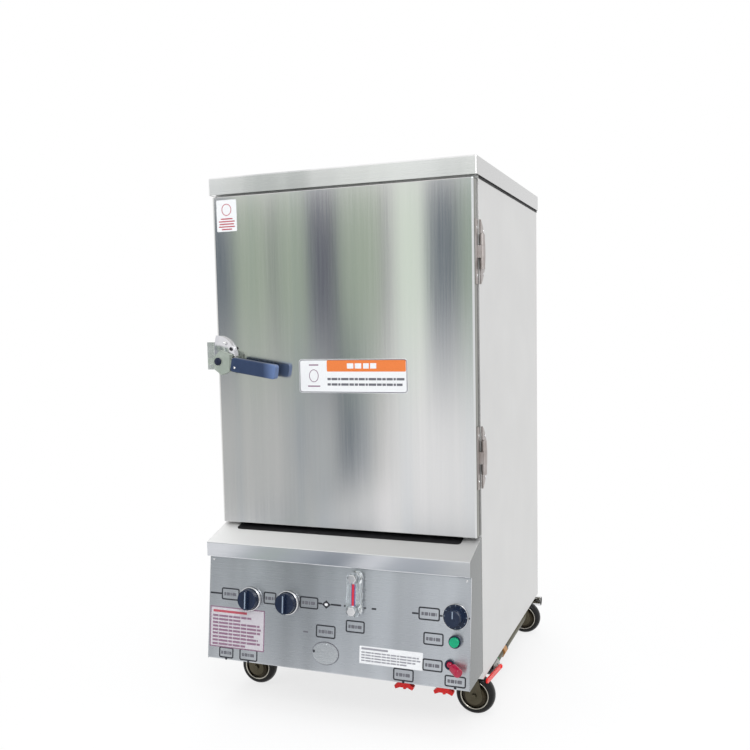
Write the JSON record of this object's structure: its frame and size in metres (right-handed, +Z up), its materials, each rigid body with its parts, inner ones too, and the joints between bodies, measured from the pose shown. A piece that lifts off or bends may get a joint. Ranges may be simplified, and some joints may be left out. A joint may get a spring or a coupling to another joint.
{
  "type": "gas rice steamer",
  "caption": "Tall gas-fired steaming cabinet on castors: latched mirror door, pan racks inside, slanted gas control console with level gauge below.",
  "frame": {"origin": "on the floor under the centre of the overall outline, switch lever and outlet pipe included", "axes": "+Z up, +X to the right as seen from the front, the door and console face -Y"},
  "size_m": [0.74, 0.9154, 1.362],
  "materials": {
    "brushed_stainless": "satin",
    "polished_stainless": "polished",
    "inner_stainless": "satin",
    "galvanised_sheet": "matte",
    "mineral_wool": "matte",
    "grey_silicone": "matte",
    "cast_zinc": "satin",
    "navy_plastic": "satin",
    "black_plastic": "satin",
    "green_plastic": "gloss",
    "red_plastic": "gloss",
    "red_paint": "gloss",
    "clear_acrylic": "gloss",
    "chromed_brass": "polished",
    "cast_iron": "matte",
    "brass": "satin",
    "olive_paint": "satin",
    "zinc_plated_steel": "satin",
    "wheel_rubber": "matte"
  },
  "bodies": {
    "cabinet": {"left_side_panel": "brushed_stainless", "right_side_panel": "brushed_stainless", "rear_panel": "brushed_stainless", "top_cover": "brushed_stainless", "base_frame": "brushed_stainless", "door_surround": "brushed_stainless", "console_hood": "brushed_stainless", "control_panel": "brushed_stainless", "chamber_liner": "inner_stainless", "tray_racks": "inner_stainless", "boiler_tank": "inner_stainless", "feed_tank": "inner_stainless", "tray_1": "inner_stainless", "tray_2": "inner_stainless", "tray_3": "inner_stainless", "tray_4": "inner_stainless", "tray_5": "inner_stainless", "tray_6": "inner_stainless", "tray_7": "inner_stainless", "tray_8": "inner_stainless", "firebox": "galvanised_sheet", "flue_duct": "galvanised_sheet", "insulation": "mineral_wool", "frame_hinges": "cast_zinc", "latch_keeper": "cast_zinc", "control_bodies": "black_plastic", "igniter_module": "black_plastic", "gauge_glass": "clear_acrylic", "gauge_bolts": "chromed_brass", "outlet_pipe": "chromed_brass", "burners": "cast_iron", "gas_manifold": "brass", "drain_pipes": "brass", "gas_supply_line": "olive_paint", "caster_plates": "zinc_plated_steel"},
    "door": {"door_skin": "polished_stainless", "door_inner_pan": "brushed_stainless", "door_core": "mineral_wool", "door_gasket": "grey_silicone", "door_hinges": "cast_zinc", "latch_base": "cast_zinc"},
    "latch": {"latch_hub": "cast_zinc", "latch_grip": "navy_plastic"},
    "left_burner_knob": {"left_burner_knob": "black_plastic"},
    "right_burner_knob": {"right_burner_knob": "black_plastic"},
    "timer_knob": {"timer_knob": "black_plastic"},
    "push_button": {"push_button": "green_plastic"},
    "switch_lever": {"switch_lever": "red_plastic"},
    "access_flap": {"access_flap": "brushed_stainless"},
    "left_drain_handle": {"left_drain_handle": "red_plastic"},
    "right_drain_handle": {"right_drain_handle": "red_plastic"},
    "gas_valve_lever": {"gas_valve_lever": "red_paint"},
    "front_left_fork": {"caster_front_left_fork": "zinc_plated_steel"},
    "front_left_wheel": {"caster_front_left_wheel": "wheel_rubber"},
    "front_right_fork": {"caster_front_right_fork": "zinc_plated_steel"},
    "front_right_wheel": {"caster_front_right_wheel": "wheel_rubber"},
    "rear_left_fork": {"caster_rear_left_fork": "zinc_plated_steel"},
    "rear_left_wheel": {"caster_rear_left_wheel": "wheel_rubber"},
    "rear_right_fork": {"caster_rear_right_fork": "zinc_plated_steel"},
    "rear_right_wheel": {"caster_rear_right_wheel": "wheel_rubber"}
  },
  "joints": [
    {"name": "door_swing", "type": "hinge", "parent": "cabinet", "child": "door", "pos_m": [0.357, -0.30275, 0.9], "axis": [0, 0, 1], "range_deg": [0, 170]},
    {"name": "latch_turn", "type": "hinge", "parent": "door", "child": "latch", "pos_m": [-0.317, -0.36475, 0.893], "axis": [0, -1, 0], "range_deg": [0, 80]},
    {"name": "left_burner_turn", "type": "hinge", "parent": "cabinet", "child": "left_burner_knob", "pos_m": [-0.228, -0.40954, 0.2897], "axis": [0, -0.993, 0.1179], "range_deg": [0, 90]},
    {"name": "right_burner_turn", "type": "hinge", "parent": "cabinet", "child": "right_burner_knob", "pos_m": [-0.122, -0.40954, 0.2897], "axis": [0, -0.993, 0.1179], "range_deg": [0, 90]},
    {"name": "timer_turn", "type": "hinge", "parent": "cabinet", "child": "timer_knob", "pos_m": [0.312, -0.40872, 0.29665], "axis": [0, 0.993, -0.1179], "range_deg": [0, 300]},
    {"name": "button_press", "type": "slide", "parent": "cabinet", "child": "push_button", "axis": [0, 0.993, -0.1179], "range_m": [0, 0.004], "stiffness_N_per_m": 600},
    {"name": "switch_tip", "type": "hinge", "parent": "cabinet", "child": "switch_lever", "pos_m": [0.301, -0.42491, 0.18579], "axis": [-0.3746, -0.1094, -0.9207], "range_deg": [0, 48]},
    {"name": "flap_swing", "type": "hinge", "parent": "cabinet", "child": "access_flap", "pos_m": [-0.017, -0.42075, 0.19536], "axis": [0, -0.993, 0.1179], "range_deg": [-110, 110]},
    {"name": "left_drain_turn", "type": "hinge", "parent": "cabinet", "child": "left_drain_handle", "pos_m": [0.166, -0.36075, 0.098], "axis": [0, 0, 1], "range_deg": [0, 90]},
    {"name": "right_drain_turn", "type": "hinge", "parent": "cabinet", "child": "right_drain_handle", "pos_m": [0.267, -0.36075, 0.098], "axis": [0, 0, 1], "range_deg": [0, 90]},
    {"name": "gas_valve_turn", "type": "hinge", "parent": "cabinet", "child": "gas_valve_lever", "pos_m": [0.352, -0.13775, 0.08], "axis": [-1, 0, 0], "range_deg": [0, 90]},
    {"name": "front_left_swivel", "type": "hinge", "parent": "cabinet", "child": "front_left_fork", "pos_m": [-0.306, -0.25275, 0.114], "axis": [0, 0, 1], "continuous": true},
    {"name": "front_left_spin", "type": "hinge", "parent": "front_left_fork", "child": "front_left_wheel", "pos_m": [-0.294, -0.25275, 0.05], "axis": [0, 1, 0], "continuous": true},
    {"name": "front_right_swivel", "type": "hinge", "parent": "cabinet", "child": "front_right_fork", "pos_m": [0.306, -0.25275, 0.114], "axis": [0, 0, 1], "continuous": true},
    {"name": "front_right_spin", "type": "hinge", "parent": "front_right_fork", "child": "front_right_wheel", "pos_m": [0.318, -0.25275, 0.05], "axis": [0, 1, 0], "continuous": true},
    {"name": "rear_left_swivel", "type": "hinge", "parent": "cabinet", "child": "rear_left_fork", "pos_m": [-0.306, 0.36125, 0.114], "axis": [0, 0, 1], "continuous": true},
    {"name": "rear_left_spin", "type": "hinge", "parent": "rear_left_fork", "child": "rear_left_wheel", "pos_m": [-0.294, 0.36125, 0.05], "axis": [0, 1, 0], "continuous": true},
    {"name": "rear_right_swivel", "type": "hinge", "parent": "cabinet", "child": "rear_right_fork", "pos_m": [0.306, 0.36125, 0.114], "axis": [0, 0, 1], "continuous": true},
    {"name": "rear_right_spin", "type": "hinge", "parent": "rear_right_fork", "child": "rear_right_wheel", "pos_m": [0.318, 0.36125, 0.05], "axis": [0, 1, 0], "continuous": true}
  ]
}
